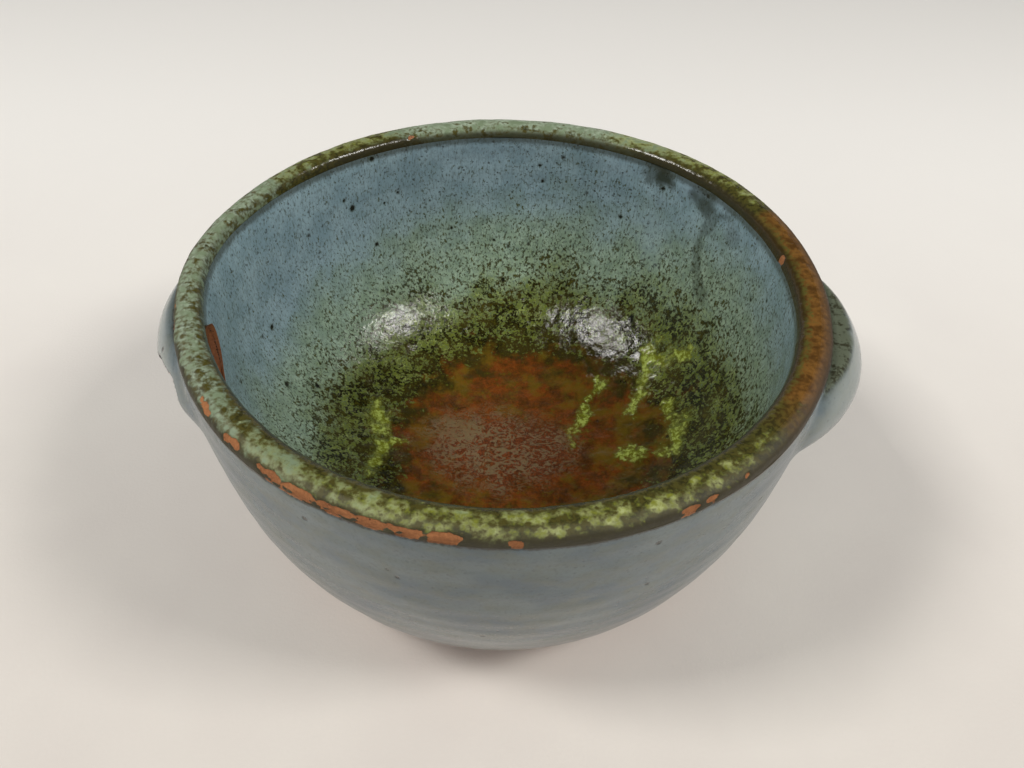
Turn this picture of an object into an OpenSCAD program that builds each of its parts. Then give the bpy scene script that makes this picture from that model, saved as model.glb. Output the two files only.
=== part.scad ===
// Yarn bowl: a wheel-thrown stoneware bowl with two lugs luted on under the
// rim, a slanted yarn hole through the wall behind the left lug, and a foot ring.
// Each clay piece is its own solid, and each coat of glaze is a thin shell on it.
// The thrown body is in two, its base and its upright wall, which meet face to face.
// Origin: centre of the foot ring's resting face. +Z up, +X towards the right
// lug, +Y away from the side with the wider view of the outer wall.

/* [Bowl] */
// Outer radius of the rim
rim_r = 75; // [70:0.5:80]
// Height from the resting face to the top of the rim
bowl_h = 82; // [78:0.5:88]
// Share of the rim's radius that the outer wall has lost one radius below the rim
wall_taper = 0.23; // [0.18:0.01:0.26]
// How late the outer wall turns in: higher keeps it upright for longer
wall_power = 2.9; // [2.5:0.1:3.5]
// Thickness of the clay at the rim
rim_w = 6.2; // [5.6:0.1:7]
// Depth of the inside below the rim
inner_depth = 67.5; // [64:0.5:69]

/* [Foot ring] */
// Outer radius of the foot ring
foot_r = 46; // [40:0.5:48]
// Width of the foot ring
foot_w = 8; // [6:0.5:10]
// Height of the foot ring under the floor
foot_h = 5; // [4:0.5:6]

/* [Lugs] */
// How far the right lug stands out past the rim's radius
right_lug_out = 8.4; // [6:0.2:10]
// Half of the angle that the right lug spans on the wall
right_lug_half = 23; // [18:1:27]
// Angle of the right lug's middle around the bowl
right_lug_at = -11; // [-14:1:0]
// How far the left lug stands out past the rim's radius
left_lug_out = 6.4; // [5:0.2:9]
// Half of the angle that the left lug spans on the wall
left_lug_half = 21; // [18:1:27]
// Angle of the left lug's middle around the bowl
left_lug_at = -168; // [-175:1:-165]
// Depth of the lugs' flat tops below the rim
lug_drop = 3.4; // [2.5:0.1:5]
// Height of the lugs
lug_h = 19; // [16:0.5:22]

/* [Yarn hole] */
// Width of the hole around the wall
hole_w = 17; // [14:0.5:19]
// Height of the hole
hole_h = 11; // [9:0.5:12]
// Depth of the middle of the inside mouth below the rim
hole_drop = 9.6; // [9:0.1:11]
// Angle of the hole's middle around the bowl
hole_at = -158; // [-164:1:-154]
// Downward slant of the hole towards the outside
hole_slant = 25; // [18:1:30]

/* [Glaze] */
// Thickness of the inner coat
liner_t = 0.8; // [0.6:0.1:1]
// Thickness of the coats on the outer wall and on the lugs
coat_t = 0.7; // [0.6:0.1:0.9]
// Thickness of the coat over the rim
lip_t = 0.9; // [0.7:0.1:1]

/* [Hidden] */
$fn = 96;

clay = "#8a4f2b";
liner_colour = "#6d7a52";
coat_colour = "#5f6a7d";
lip_colour = "#a9b078";

clay_r = rim_r - coat_t;                   // clay under the outer coat, at the rim
clay_h = bowl_h - lip_t;                   // top of the clay under the rim coat
inner_r = clay_r - rim_w;                  // clay of the inner wall, at the rim
floor_z = bowl_h - inner_depth - liner_t;  // clay of the floor
base_h = 32;                               // height at which the base meets the wall
turn_z = foot_h + 5;                       // where the outer wall turns under to the foot
lip_z = bowl_h - lug_drop;                 // where the round lip begins, level with the lugs' tops
steps = 22;                                // stretches of each wall's outline
lip_steps = 10;                            // stretches of the lip's outline
lip_power = 0.62;                          // under 1 gives the lip a flatter top
coat_from = 1;                             // stretch of the outer wall at which its coat begins

// Radius of the clay's outer wall at a height z
function wall_out(z) = clay_r * (1 - wall_taper * pow((bowl_h - z) / rim_r, wall_power));

// Radius of the clay's inner wall at a height z: a full bowl with a round floor
function wall_in(z) =
  let (d = (bowl_h - z) / (bowl_h - floor_z))
  inner_r * pow(max(1 - pow(min(d, 1), 3.7), 0), 1 / 2.8);

// Outer wall from a step up to the lip, swollen by t
function out_line(from, t) =
  [for (i = [from:steps]) let (z = turn_z + (lip_z - turn_z) * i / steps) [wall_out(z) + t, z]];

// Inner wall from the floor's middle up to the lip, swollen inwards by t.
// Its points crowd near the floor, where the wall curves most.
function in_line(t) =
  [for (i = [0:steps]) let (u = 90 * i / steps, z = floor_z + (lip_z - floor_z) * (1 - cos(u)))
    [max(wall_in(z) - t * sin(u), 0), z + t * cos(u)]];

// Lip from the outer wall over to the inner wall, swollen out by a, in by b
// and up to the height top
function lip_line(a, b, top) =
  let (mid = (clay_r + inner_r) / 2, half = (clay_r - inner_r) / 2)
  [for (i = [0:lip_steps]) let (u = 180 * i / lip_steps)
    [mid + (half + (u < 90 ? a : b)) * cos(u), lip_z + (top - lip_z) * pow(sin(u), lip_power)]];

// Underside from the foot ring out and round to the outer wall
function under_line() =
  let (w = wall_out(turn_z) - foot_r, h = turn_z - foot_h)
  [for (u = [0:15:75]) [foot_r + w * sin(u), turn_z - h * cos(u)]];

// A list backwards
function back(line) = [for (i = [len(line) - 1:-1:0]) line[i]];

// A list without its first and last entries
function inside(line) = [for (i = [1:len(line) - 2]) line[i]];

// Distance from the bowl's axis to a lug's own axis: a round about it that
// reaches out to the given radius meets the wall at the half angle
function lug_shift(reach, half) =
  (reach * reach - clay_r * clay_r) / (2 * (reach - clay_r * cos(half)));

// Outline of a lug from its axis out along the underside, round to its flat
// top and back to its axis, swollen by t
function lug_line(out, half, t) =
  let (reach = rim_r + out, r = reach - lug_shift(reach, half) + t,
    top = bowl_h - lug_drop + t, h = lug_h + 2 * t, belly = top - 0.42 * h)
  concat(
    [[0, top - h]],
    [for (u = [90:-15:0]) [r - (out + 3) * (1 - cos(u)), belly - (belly - top + h) * sin(u)]],
    [[r - 1.1, top - 0.22 * h], [r - 4, top - 0.05 * h], [r - 5.4, top], [0, top]]);

// Solid of the outer wall without its hollow, swollen by t
module wall_mass(t) {
  rotate_extrude()
    polygon(concat([[0, turn_z]], out_line(0, t), [[wall_out(bowl_h) + t, bowl_h], [0, bowl_h]]));
}

// Shape of the yarn hole, from inside the bowl out past the left lug
module hole_cutter() {
  rotate([0, 0, hole_at])
    translate([wall_in(bowl_h - hole_drop), 0, bowl_h - hole_drop])
      rotate([0, 90 + hole_slant, 0])
        translate([0, 0, -9])
          linear_extrude(height = 36) {
            for (side = [-1, 1]) translate([0, side * (hole_w - hole_h) / 2]) circle(d = hole_h);
            square([hole_h, hole_w - hole_h], center = true);
          }
}

// Spins a lug's outline about the lug's own axis
module lug_turn(out, half, at) {
  rotate([0, 0, at])
    translate([lug_shift(rim_r + out, half), 0, 0])
      rotate_extrude() children();
}

// Round button of clay whose outer edge is a lug's face
module lug_mass(out, half, at) {
  lug_turn(out, half, at) polygon(lug_line(out, half, 0));
}

// Lug of clay luted on to the wall
module lug(out, half, at) {
  color(clay)
    difference() {
      lug_mass(out, half, at);
      wall_mass(0);
      hole_cutter();
    }
}

// Coat of glaze on a lug, open where the lug meets the wall
module lug_coat(out, half, at) {
  color(coat_colour)
    difference() {
      lug_turn(out, half, at) polygon(concat(lug_line(out, half, coat_t), back(lug_line(out, half, 0))));
      wall_mass(coat_t);
      hole_cutter();
    }
}

// Wall, floor and lip as thrown, with the yarn hole cut through
module thrown_clay() {
  difference() {
    rotate_extrude()
      polygon(concat(
        [[0, foot_h]], under_line(), out_line(0, 0),
        inside(lip_line(0, 0, clay_h)), back(in_line(0))));
    hole_cutter();
  }
}

// Everything above the line where the wall has opened out from the floor
module above_base() {
  translate([0, 0, base_h]) cylinder(r = 2 * rim_r, h = bowl_h);
}

// Upright wall with the lip and the yarn hole
module thrown_wall() {
  color(clay)
    intersection() {
      thrown_clay();
      above_base();
    }
}

// Floor with the curve that opens out into the wall
module thrown_base() {
  color(clay)
    difference() {
      thrown_clay();
      above_base();
    }
}

// Turned ring that the bowl stands on
module foot_ring() {
  inner = foot_r - foot_w;
  color(clay)
    rotate_extrude()
      polygon([
        [inner, foot_h], [inner + 1.2, 0.6], [inner + 2, 0],
        [foot_r - 1.4, 0], [foot_r - 0.4, 0.8], [foot_r, foot_h]
      ]);
}

module right_lug() { lug(right_lug_out, right_lug_half, right_lug_at); }

module left_lug() { lug(left_lug_out, left_lug_half, left_lug_at); }

module right_lug_glaze() { lug_coat(right_lug_out, right_lug_half, right_lug_at); }

module left_lug_glaze() { lug_coat(left_lug_out, left_lug_half, left_lug_at); }

// Coat over the floor and up the inner wall
module liner_glaze() {
  color(liner_colour)
    difference() {
      rotate_extrude() polygon(concat(in_line(0), back(in_line(liner_t))));
      hole_cutter();
    }
}

// Coat on the outer wall, interrupted where the lugs are luted on
module outer_glaze() {
  color(coat_colour)
    difference() {
      rotate_extrude() polygon(concat(back(out_line(coat_from, 0)), out_line(coat_from, coat_t)));
      lug_mass(right_lug_out, right_lug_half, right_lug_at);
      lug_mass(left_lug_out, left_lug_half, left_lug_at);
      hole_cutter();
    }
}

// Coat over the lip, down to the edges of the other two coats
module rim_glaze() {
  color(lip_colour)
    rotate_extrude()
      polygon(concat(lip_line(coat_t, liner_t, bowl_h), back(lip_line(0, 0, clay_h))));
}

thrown_wall();
thrown_base();
foot_ring();
right_lug();
left_lug();
liner_glaze();
outer_glaze();
rim_glaze();
right_lug_glaze();
left_lug_glaze();
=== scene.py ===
"""Yarn bowl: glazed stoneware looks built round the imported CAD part.

One displaced grid runs from the foot's edge up the outer wall, over the lip and down to
the middle of the floor. The pieces (coats of glaze, lugs) are cut out of it, so they meet
exactly. Masks painted on the grid's points tell the glaze shaders where things happen.
Lengths in the mesh code are millimetres until a mesh is made; angles are degrees round
the bowl, 0 at +X and 90 at +Y.
"""

import math

import bpy
import numpy as np
from mathutils import Matrix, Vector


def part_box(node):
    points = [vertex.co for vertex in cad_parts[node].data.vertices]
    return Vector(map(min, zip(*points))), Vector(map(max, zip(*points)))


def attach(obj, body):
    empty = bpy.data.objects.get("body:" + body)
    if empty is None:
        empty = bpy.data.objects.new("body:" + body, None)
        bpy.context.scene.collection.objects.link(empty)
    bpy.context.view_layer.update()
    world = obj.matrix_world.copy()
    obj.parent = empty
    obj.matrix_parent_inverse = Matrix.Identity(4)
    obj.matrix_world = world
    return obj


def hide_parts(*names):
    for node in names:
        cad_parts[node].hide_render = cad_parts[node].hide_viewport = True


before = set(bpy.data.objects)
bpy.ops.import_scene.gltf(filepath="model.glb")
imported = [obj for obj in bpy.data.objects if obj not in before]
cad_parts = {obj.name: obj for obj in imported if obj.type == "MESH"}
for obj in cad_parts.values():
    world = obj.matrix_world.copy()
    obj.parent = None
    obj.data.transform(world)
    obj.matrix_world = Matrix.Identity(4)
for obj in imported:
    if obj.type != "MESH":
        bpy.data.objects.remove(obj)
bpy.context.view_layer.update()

MM = 0.001

# ---- sizes from the frame
lip_low, lip_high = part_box("rim_glaze")
liner_low, liner_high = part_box("liner_glaze")
coat_low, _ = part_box("outer_glaze")
_, foot_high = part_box("foot_ring")
RIM_R = lip_high[1] / MM
TOP = lip_high[2] / MM
LIP_Z = lip_low[2] / MM
FLOOR_Z = liner_low[2] / MM
CLAY_IN = liner_high[0] / MM
COAT_Z = coat_low[2] / MM
FOOT_R = foot_high[0] / MM
FOOT_H = foot_high[2] / MM

# What the frame can't say: the same numbers as in the part, except for the left lug, which is
# a millimetre shallower here and turned a degree, to fit its real outline better
WALL_TAPER, WALL_POWER = 0.23, 2.9
BOWL_POWER, BOWL_ROOT = 3.7, 2.8
LINER_T, COAT_T = 0.8, 0.7
LIP_POWER = 0.62
# Lugs: their height, the share of it above the widest place, and how far the face leans in
LUG_H, LUG_BELLY, LUG_LEAN = 19.0, 0.42, 4.4
LUGS = {
    "right_lug": {"out": 8.4, "half": 23.0, "at": -11.0},
    "left_lug": {"out": 5.3, "half": 20.5, "at": -167.0},
}
HOLE_W, HOLE_H, HOLE_DROP, HOLE_AT, HOLE_SLANT = 17.0, 11.0, 9.6, -158.0, 25.0
HOLE_FLAT = (HOLE_W - HOLE_H) / 2
FOOT_W = 8.0
# Height where the underside turns up into the wall
TURN_Z = FOOT_H + 5.0
CLAY_OUT = RIM_R - COAT_T
INNER_R = CLAY_IN - LINER_T
LIP_MID = (RIM_R + INNER_R) / 2
LIP_HALF = (RIM_R - INNER_R) / 2
FLOOR_TOP = FLOOR_Z + LINER_T

# Grid: columns round the bowl, rows along its outline
TURNS = 1080
OUT_ROWS, LIP_ROWS, IN_ROWS = 120, 44, 200
# Clay under the coats: every fourth point of the grid, set back by a skin
CLAY_SKIP = 4
COAT_SKIN = 0.55


# ---- small maths
def smooth(x, low, high):
    """0 below low, 1 above high, smooth between."""
    t = np.clip((x - low) / (high - low), 0, 1)
    return t * t * (3 - 2 * t)


def hump(x, width):
    """1 at zero, falling to nothing past about two widths."""
    return np.exp(-((x / width) ** 2))


def turn_to(angle, at):
    """Signed degrees from at to angle."""
    return (angle - at + 180) % 360 - 180


def noise(points, size, seed):
    """Smooth value noise from -1 to 1, with features of the given size in millimetres."""
    table = np.random.default_rng(seed).uniform(-1, 1, 4096)
    p = points / size + 500
    cell = np.floor(p).astype(np.int64)
    f = p - cell
    f = f * f * (3 - 2 * f)
    total = np.zeros(points.shape[:-1])
    for dx in (0, 1):
        for dy in (0, 1):
            for dz in (0, 1):
                key = (cell[..., 0] + dx) * 1619 + (cell[..., 1] + dy) * 31337 + (cell[..., 2] + dz) * 6971
                weight = (
                    (f[..., 0] if dx else 1 - f[..., 0])
                    * (f[..., 1] if dy else 1 - f[..., 1])
                    * (f[..., 2] if dz else 1 - f[..., 2])
                )
                total += weight * table[(key ^ (key >> 9)) % 4096]
    return total


def rough_noise(points, size, seed, octaves=3):
    """Several octaves of noise, each half as large and half as strong."""
    total = np.zeros(points.shape[:-1])
    for k in range(octaves):
        total += noise(points, size / 2**k, seed + k) / 2**k
    return total


def around(angle, stops):
    """A value round the bowl, smooth between given (angle, value) stops."""
    at = np.array([a for a, _ in stops] + [stops[0][0] + 360.0])
    value = np.array([v for _, v in stops] + [stops[0][1]])
    turn = (angle - at[0]) % 360 + at[0]
    k = np.clip(np.searchsorted(at, turn, side="right") - 1, 0, len(at) - 2)
    return value[k] + (value[k + 1] - value[k]) * smooth(turn, at[k], at[k + 1])


def resample(r, z, count):
    """Points evenly spaced along each row of outlines given as (..., n) arrays."""
    step = np.hypot(np.diff(r), np.diff(z))
    length = np.concatenate([np.zeros(step.shape[:-1] + (1,)), np.cumsum(step, -1)], -1)
    out_r, out_z = (np.empty(r.shape[:-1] + (count,)) for _ in range(2))
    for i in np.ndindex(r.shape[:-1]):
        want = np.linspace(0, length[i][-1], count)
        out_r[i] = np.interp(want, length[i], r[i])
        out_z[i] = np.interp(want, length[i], z[i])
    return out_r, out_z


# ---- outlines
def wall_out(z):
    return RIM_R - CLAY_OUT * WALL_TAPER * ((TOP - z) / RIM_R) ** WALL_POWER


def wall_in(z):
    d = np.clip((TOP - z) / (TOP - FLOOR_Z), 0, 1)
    return CLAY_IN * np.clip(1 - d**BOWL_POWER, 0, 1) ** (1 / BOWL_ROOT)


def lug_reach(lug, turn, z):
    """How far out a lug's face is at a turn from its middle and a height."""
    reach = RIM_R + lug["out"]
    half = math.radians(lug["half"])
    shift = (reach**2 - CLAY_OUT**2) / (2 * (reach - CLAY_OUT * math.cos(half)))
    r = reach - shift + COAT_T * 0.6
    belly = LIP_Z - LUG_BELLY * LUG_H
    low = LIP_Z - LUG_H
    up = np.clip((z - belly) / (LIP_Z - belly), 0, 1)
    down = np.clip((belly - z) / (belly - low), 0, 1)
    corner = np.clip((up - 0.88) / 0.12, 0, 1)
    underside = (lug["out"] + 3) * (1 - np.sqrt(1 - down**2))
    rho = r - LUG_LEAN * up**1.7 - (1 - np.sqrt(1 - corner**2)) - underside
    rho = np.where(z < low, 0, rho)
    a = np.radians(turn)
    side = shift * np.sin(a)
    return np.where(
        (np.abs(turn) < 60) & (rho > np.abs(side)),
        shift * np.cos(a) + np.sqrt(np.maximum(rho**2 - side**2, 0)),
        0,
    )


def outer_outline(angle):
    """Outline of the outer wall at each angle, from the coat's lower edge up to the lip."""
    z = np.linspace(COAT_Z, LIP_Z, 400)[None, :]
    r = np.broadcast_to(wall_out(z), (len(angle), 400)).copy()
    for lug in LUGS.values():
        face = lug_reach(lug, turn_to(angle, lug["at"])[:, None], z)
        blend = 1.4 * smooth(LIP_Z - z, 0, 3)
        r = np.where(face > 0, 0.5 * (r + face + np.sqrt((r - face) ** 2 + blend**2)), r)
        r = np.maximum(r, wall_out(z))
    edge = np.linspace(1, 0, 40)[1:]
    ledge = RIM_R + (r[:, -1:] - RIM_R) * edge[None, :]
    dip = 0.35 * smooth(r[:, -1:] - RIM_R, 0, 2) * np.sin(np.pi * edge)[None, :] ** 2
    r = np.concatenate([r, ledge], 1)
    z = np.concatenate([np.broadcast_to(z, (len(angle), 400)), LIP_Z - dip], 1)
    return resample(r, z, OUT_ROWS)


def thin_lip(angle):
    """How much thinner the lip is on its inside: it was pulled out at the back left."""
    return 2.3 * hump(turn_to(angle, 172), 32)


def lip_outline(angle):
    u = np.linspace(0, np.pi, 240)[None, :]
    inner = np.where(u > np.pi / 2, thin_lip(angle)[:, None], 0)
    r = LIP_MID + LIP_HALF * np.cos(u) - inner * np.cos(u)
    crest = TOP - 0.12 + 0.18 * np.sin(np.radians(angle * 2 + 40))[:, None] * np.sin(u)
    z = LIP_Z + (crest - LIP_Z) * np.sin(u) ** LIP_POWER
    return resample(r, z, LIP_ROWS)


def inner_outline(angle):
    u = np.linspace(90, 0, 500)[None, :]
    z_clay = FLOOR_Z + (LIP_Z - FLOOR_Z) * (1 - np.cos(np.radians(u)))
    r = np.maximum(wall_in(z_clay) - LINER_T * np.sin(np.radians(u)), 0)
    z = z_clay + LINER_T * np.cos(np.radians(u))
    r = r + thin_lip(angle)[:, None] * np.exp(-(LIP_Z - z) / 14) * (z > FLOOR_TOP + 5)
    z = np.broadcast_to(z, r.shape)
    return resample(r, z, IN_ROWS)


# ---- the grid
angles = np.arange(TURNS) * 360.0 / TURNS - 180.0
outlines = zip(outer_outline(angles), lip_outline(angles), inner_outline(angles))
grid_r, grid_z = (np.concatenate([a, b[:, 1:], c[:, 1:]], 1).T for a, b, c in outlines)
ROWS = grid_r.shape[0]
LIP_FROM = OUT_ROWS - 1
LIP_TO = LIP_FROM + LIP_ROWS - 1
grid_a = np.broadcast_to(angles, grid_r.shape)
cos_a, sin_a = np.cos(np.radians(grid_a)), np.sin(np.radians(grid_a))
base = np.stack([grid_r * cos_a, grid_r * sin_a, grid_z], -1)
row = np.arange(ROWS)[:, None]
outside = np.broadcast_to(row <= LIP_FROM, grid_r.shape)
inside = np.broadcast_to(row >= LIP_TO, grid_r.shape)


def normals_of(points):
    """Unit normals of a grid that closes round its columns, pointing out of the clay."""
    along = np.gradient(points, axis=0)
    across = (np.roll(points, -1, 1) - np.roll(points, 1, 1)) / 2
    n = np.cross(across, along)
    n[-1] = (0, 0, 1)
    return n / np.maximum(np.linalg.norm(n, axis=-1, keepdims=True), 1e-9)


# The rim isn't quite round: it stands out a little at the back right and at the left
pushed = 1.3 * hump(turn_to(grid_a, 43), 30) + 0.9 * hump(turn_to(grid_a, 178), 15)
pushed *= smooth(grid_z, 25, 70)
base[..., 0] += pushed * cos_a
base[..., 1] += pushed * sin_a
normal = normals_of(base)

# Place across the lip: 1 at its outer edge, -1 at its inner edge, going on down the walls
lip_c = (grid_r - LIP_MID) / LIP_HALF
step = np.linalg.norm(np.diff(base, axis=0), axis=-1)
run = np.concatenate([np.zeros((1, TURNS)), np.cumsum(step, 0)])
lip_c = np.where(outside, 1 + (run[LIP_FROM] - run) / 4, lip_c)
lip_c = np.where(inside, -1 - (run - run[LIP_TO]) / 4, lip_c)
drop = TOP - base[..., 2]


# ---- marks of making and wear
# Glaze chipped off the lip: (angle, place across the lip, half length, half width)
CHIPS = [
    (-162, 1.0, 3.0, 0.45), (-166, 0.9, 1.2, 0.4), (-177, -0.95, 1.6, 0.8), (116, -0.75, 1.0, 0.5),
    (-140, 0.74, 2.6, 0.8), (-132, 0.8, 2.4, 0.6), (-123, 0.86, 3.4, 0.5), (-117.5, 0.88, 4.6, 0.55),
    (-112, 0.9, 4.6, 0.5), (-106.5, 0.9, 4.6, 0.5), (-102, 0.92, 3.2, 0.42), (-96.5, 0.9, 3.2, 0.62),
    (-87, 0.95, 1.2, 0.35), (-62, 0.94, 2.2, 0.35), (-58.5, 0.92, 1.3, 0.3), (-51.5, 0.86, 0.8, 0.3),
    (8, -1.0, 1.0, 0.6), (58, 1.0, 1.4, 0.5),
]
# Marks of a finger and a dripping ladle on the inner wall: (angle, drop, width, height, strength)
SMUDGES = [
    (51, 3, 4, 6.5, 1.3), (54, 7, 3, 4, 0.9), (38, 8, 6, 4.5, 1.15), (28, 10.5, 5, 5, 0.7),
    (50, 13, 3, 10, 0.5), (33, 14, 3, 9, 0.45),
]
# Paler places on the inner wall, given in the same way
PALE_STREAKS = [
    (42, 5, 4.6, 3.6, 1.0), (33, 4, 4, 2.6, 0.6), (62, 6, 8, 4, 0.35), (100, 6, 16, 5, 0.45),
    (50, 24, 5, 9, 0.5),
]
# Veins of runny green glaze on the floor: lines through (x, y) points, with a width
VEINS = [
    ([(-39, 12), (-36, 5), (-35, -4), (-35.5, -14)], 1.9),
    ([(-35, -1), (-30, -1)], 1.2),
    ([(31.5, 25.5), (27, 19.5), (22.5, 9), (21.5, 5.5)], 2.1),
    ([(22, 8), (21.5, 4.5)], 2.9),
    ([(36.5, -2.8), (43, -2.6), (50, -4.4), (52.4, 3.4), (49, 11)], 1.5),
    ([(36.5, -2.8), (39, -2.7)], 2.5),
    ([(51.5, 1), (52.4, 4)], 2.3),
    ([(39.4, 13), (40.4, 17)], 2.4),
    ([(40.4, 17), (43, 25.4), (44, 31)], 1.7),
    ([(46, 30), (53, 24)], 2.2),
]
# Broad patches of the floor's edge where more green shows: (x, y, radius)
GREENER = [
    (-33, 24, 9), (-12, 26, 8), (-39, 2, 8), (45, 22, 8), (30, 18, 6), (50, 2, 7), (-20, 38, 9), (8, 47, 6),
]
# Black pits on the inner wall: (angle, drop, radius)
PITS = [
    (127, 4.5, 0.9), (134, 17.7, 1.0), (136, 14.3, 0.6), (129, 32.2, 0.8), (107, 33, 0.6), (83, 11.9, 0.6),
    (82, 17.2, 0.7), (95, 38, 0.55), (92, 49.8, 0.7), (169, 33.8, 0.9), (177, 46.5, 0.9), (-169, 29.6, 0.6),
    (170, 53.5, 0.8), (121, 17.5, 0.6), (60, 23.6, 0.75), (14, 20.4, 0.6), (8, 15, 0.6), (-5, 22.9, 0.7),
    (47, 50.8, 1.3), (125, 19.8, 0.5), (50, 9.6, 0.8), (-110, 30, 0.7), (-60, 22, 0.7), (-85, 44, 0.8),
]
# Pinholes in the floor's glaze: (x, y, radius)
HOLES_IN_FLOOR = [(20.4, 5.6, 0.5), (22.7, 5.7, 0.55)]
# Middle of the rusty part of the floor, and how far it reaches
FLOOR_C, FLOOR_SPAN = (9.0, 0.0), 51.0


def line_distance(x, y, points):
    best = np.full(x.shape, 1e9)
    for (ax, ay), (bx, by) in zip(points, points[1:]):
        t = ((x - ax) * (bx - ax) + (y - ay) * (by - ay)) / ((bx - ax) ** 2 + (by - ay) ** 2)
        t = np.clip(t, 0, 1)
        best = np.minimum(best, np.hypot(x - ax - t * (bx - ax), y - ay - t * (by - ay)))
    return best


def bare_mask():
    """Where the glaze is off the lip and the clay shows."""
    arc = grid_r * np.radians(1)
    wobble = rough_noise(base, 1.6, 11)
    mask = np.zeros_like(grid_r)
    for at, c, long, wide in CHIPS:
        far = np.hypot(turn_to(grid_a, at) * arc / long, (lip_c - c) * LIP_HALF / wide)
        mask = np.maximum(mask, 1 - smooth(far + 0.5 * wobble, 0.6, 1.3))
    return mask


def spots(marks, seed):
    """Soft patches on the inner wall."""
    arc = INNER_R * np.radians(1)
    wobble = rough_noise(base, 5, seed) + 0.4 * rough_noise(base, 1.8, seed + 2)
    mask = np.zeros_like(grid_r)
    for at, down, wide, tall, strength in marks:
        far = np.hypot(turn_to(grid_a, at) * arc / wide, (drop - down) / tall)
        mask = np.maximum(mask, strength * (1 - smooth(far + 0.4 * wobble, 0.1, 1.6)))
    return mask * inside


def finger_arc():
    """The curved wipe mark on the inner wall at the back right."""
    x, y = turn_to(grid_a, 27) * INNER_R * np.radians(1), drop - 20
    far = np.abs(np.hypot(x / 11, y / 14) - 1)
    return (1 - smooth(far + 0.1 * rough_noise(base, 4, 17), 0.05, 0.3)) * smooth(x, -4, 4) * inside


def floor_place():
    """0 in the middle of the rusty floor, 1 at its edge, more up the wall."""
    x, y = base[..., 0] - FLOOR_C[0], base[..., 1] - FLOOR_C[1]
    q = np.sqrt(x**2 + y**2 + (base[..., 2] - FLOOR_TOP) ** 2) / FLOOR_SPAN
    return q + 0.07 * rough_noise(base, 16, 21) + 0.03 * rough_noise(base, 5, 25)


def vein_mask():
    x = base[..., 0] + 1.7 * rough_noise(base, 6, 31) + 0.9 * rough_noise(base, 1.8, 32)
    y = base[..., 1] + 1.7 * rough_noise(base, 6, 35) + 0.9 * rough_noise(base, 1.8, 36)
    mask = np.zeros_like(grid_r)
    for points, width in VEINS:
        far = line_distance(x, y, points) / width
        mask = np.maximum(mask, hump(far, 1.2))
    uneven = 0.85 + 0.6 * rough_noise(base, 4, 39)
    return np.clip(mask * uneven, 0, 1) * inside * (base[..., 2] < FLOOR_TOP + 22)


def green_mask():
    mask = np.zeros_like(grid_r)
    for x, y, radius in GREENER:
        mask = np.maximum(mask, hump(np.hypot(base[..., 0] - x, base[..., 1] - y), radius))
    return mask * inside


def pit_mask():
    mask = np.zeros_like(grid_r)
    for at, down, radius in PITS:
        far = np.hypot(turn_to(grid_a, at) * grid_r * np.radians(1), drop - down)
        mask = np.maximum(mask, hump(far, radius))
    return mask * inside


floor_q = floor_place()
bare = bare_mask()
veins = vein_mask()
greener = green_mask()
pits = pit_mask()
smudge = np.maximum(spots(SMUDGES, 41), 0.75 * finger_arc())
pale = spots(PALE_STREAKS, 45)
# A scratched oval patch near the middle of the floor
scuff = np.hypot((base[..., 0] + 1) / 25, base[..., 1] / 17) + 0.25 * rough_noise(base, 6, 51)
scuff = (1 - smooth(scuff, 0.5, 1.25)) * inside

# Colour of the lip round the bowl: (angle, value) stops
LIP_BROWN = [
    (-180, 0.0), (-75, 0.0), (-50, 0.2), (-38, 0.5), (-26, 1.0), (10, 1.0), (19, 0.7), (27, 0.15),
    (60, 0.0),
]
LIP_GOLD = [
    (-180, 0.1), (-150, 0.2), (-125, 0.55), (-95, 0.75), (-50, 1.0), (0, 0.8), (30, 0.75), (60, 0.55),
    (75, 0.1), (110, 0.0), (125, 0.7), (148, 0.6), (158, 0.1),
]
LIP_DARK = [
    (-180, 0.38), (-150, 0.42), (-135, 0.52), (-100, 0.52), (-70, 0.55), (-50, 0.6), (-32, 0.7),
    (15, 0.75), (25, 0.55), (50, 0.4), (65, 0.2), (110, 0.15), (124, 0.55), (146, 0.5), (156, 0.35),
]


# ---- the yarn hole
def hole_frame():
    a, s = math.radians(HOLE_AT), math.radians(HOLE_SLANT)
    mouth = wall_in(np.array(TOP - HOLE_DROP))
    start = np.array([mouth * math.cos(a), mouth * math.sin(a), TOP - HOLE_DROP])
    out = np.array([math.cos(s) * math.cos(a), math.cos(s) * math.sin(a), -math.sin(s)])
    side = np.array([-math.sin(a), math.cos(a), 0.0])
    return start, out, side, np.cross(out, side)


hole_start, hole_out, hole_side, hole_up = hole_frame()


def hole_distance(points):
    """Distance from the hole's outline in its cross-section, negative in the hole."""
    p = points - hole_start
    a, b = p @ hole_side, p @ hole_up
    core = np.clip(a, -HOLE_FLAT, HOLE_FLAT)
    far = np.hypot(a - core, b)
    angle = np.degrees(np.arctan2(points[..., 1], points[..., 0]))
    near = (np.abs(turn_to(angle, HOLE_AT)) < 20) & (points[..., 2] > TOP - 32)
    return np.where(near, far - HOLE_H / 2, 99.0), core


def snap_to_hole(points, which):
    """Moves chosen points on to the hole's outline, straight across its axis."""
    p = points[which] - hole_start
    _, core = hole_distance(points[which])
    a, b = p @ hole_side, p @ hole_up
    far = np.maximum(np.hypot(a - core, b), 1e-6)
    k = HOLE_H / 2 / far
    points[which] += np.outer((a - core) * (k - 1), hole_side) + np.outer(b * (k - 1), hole_up)


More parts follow.
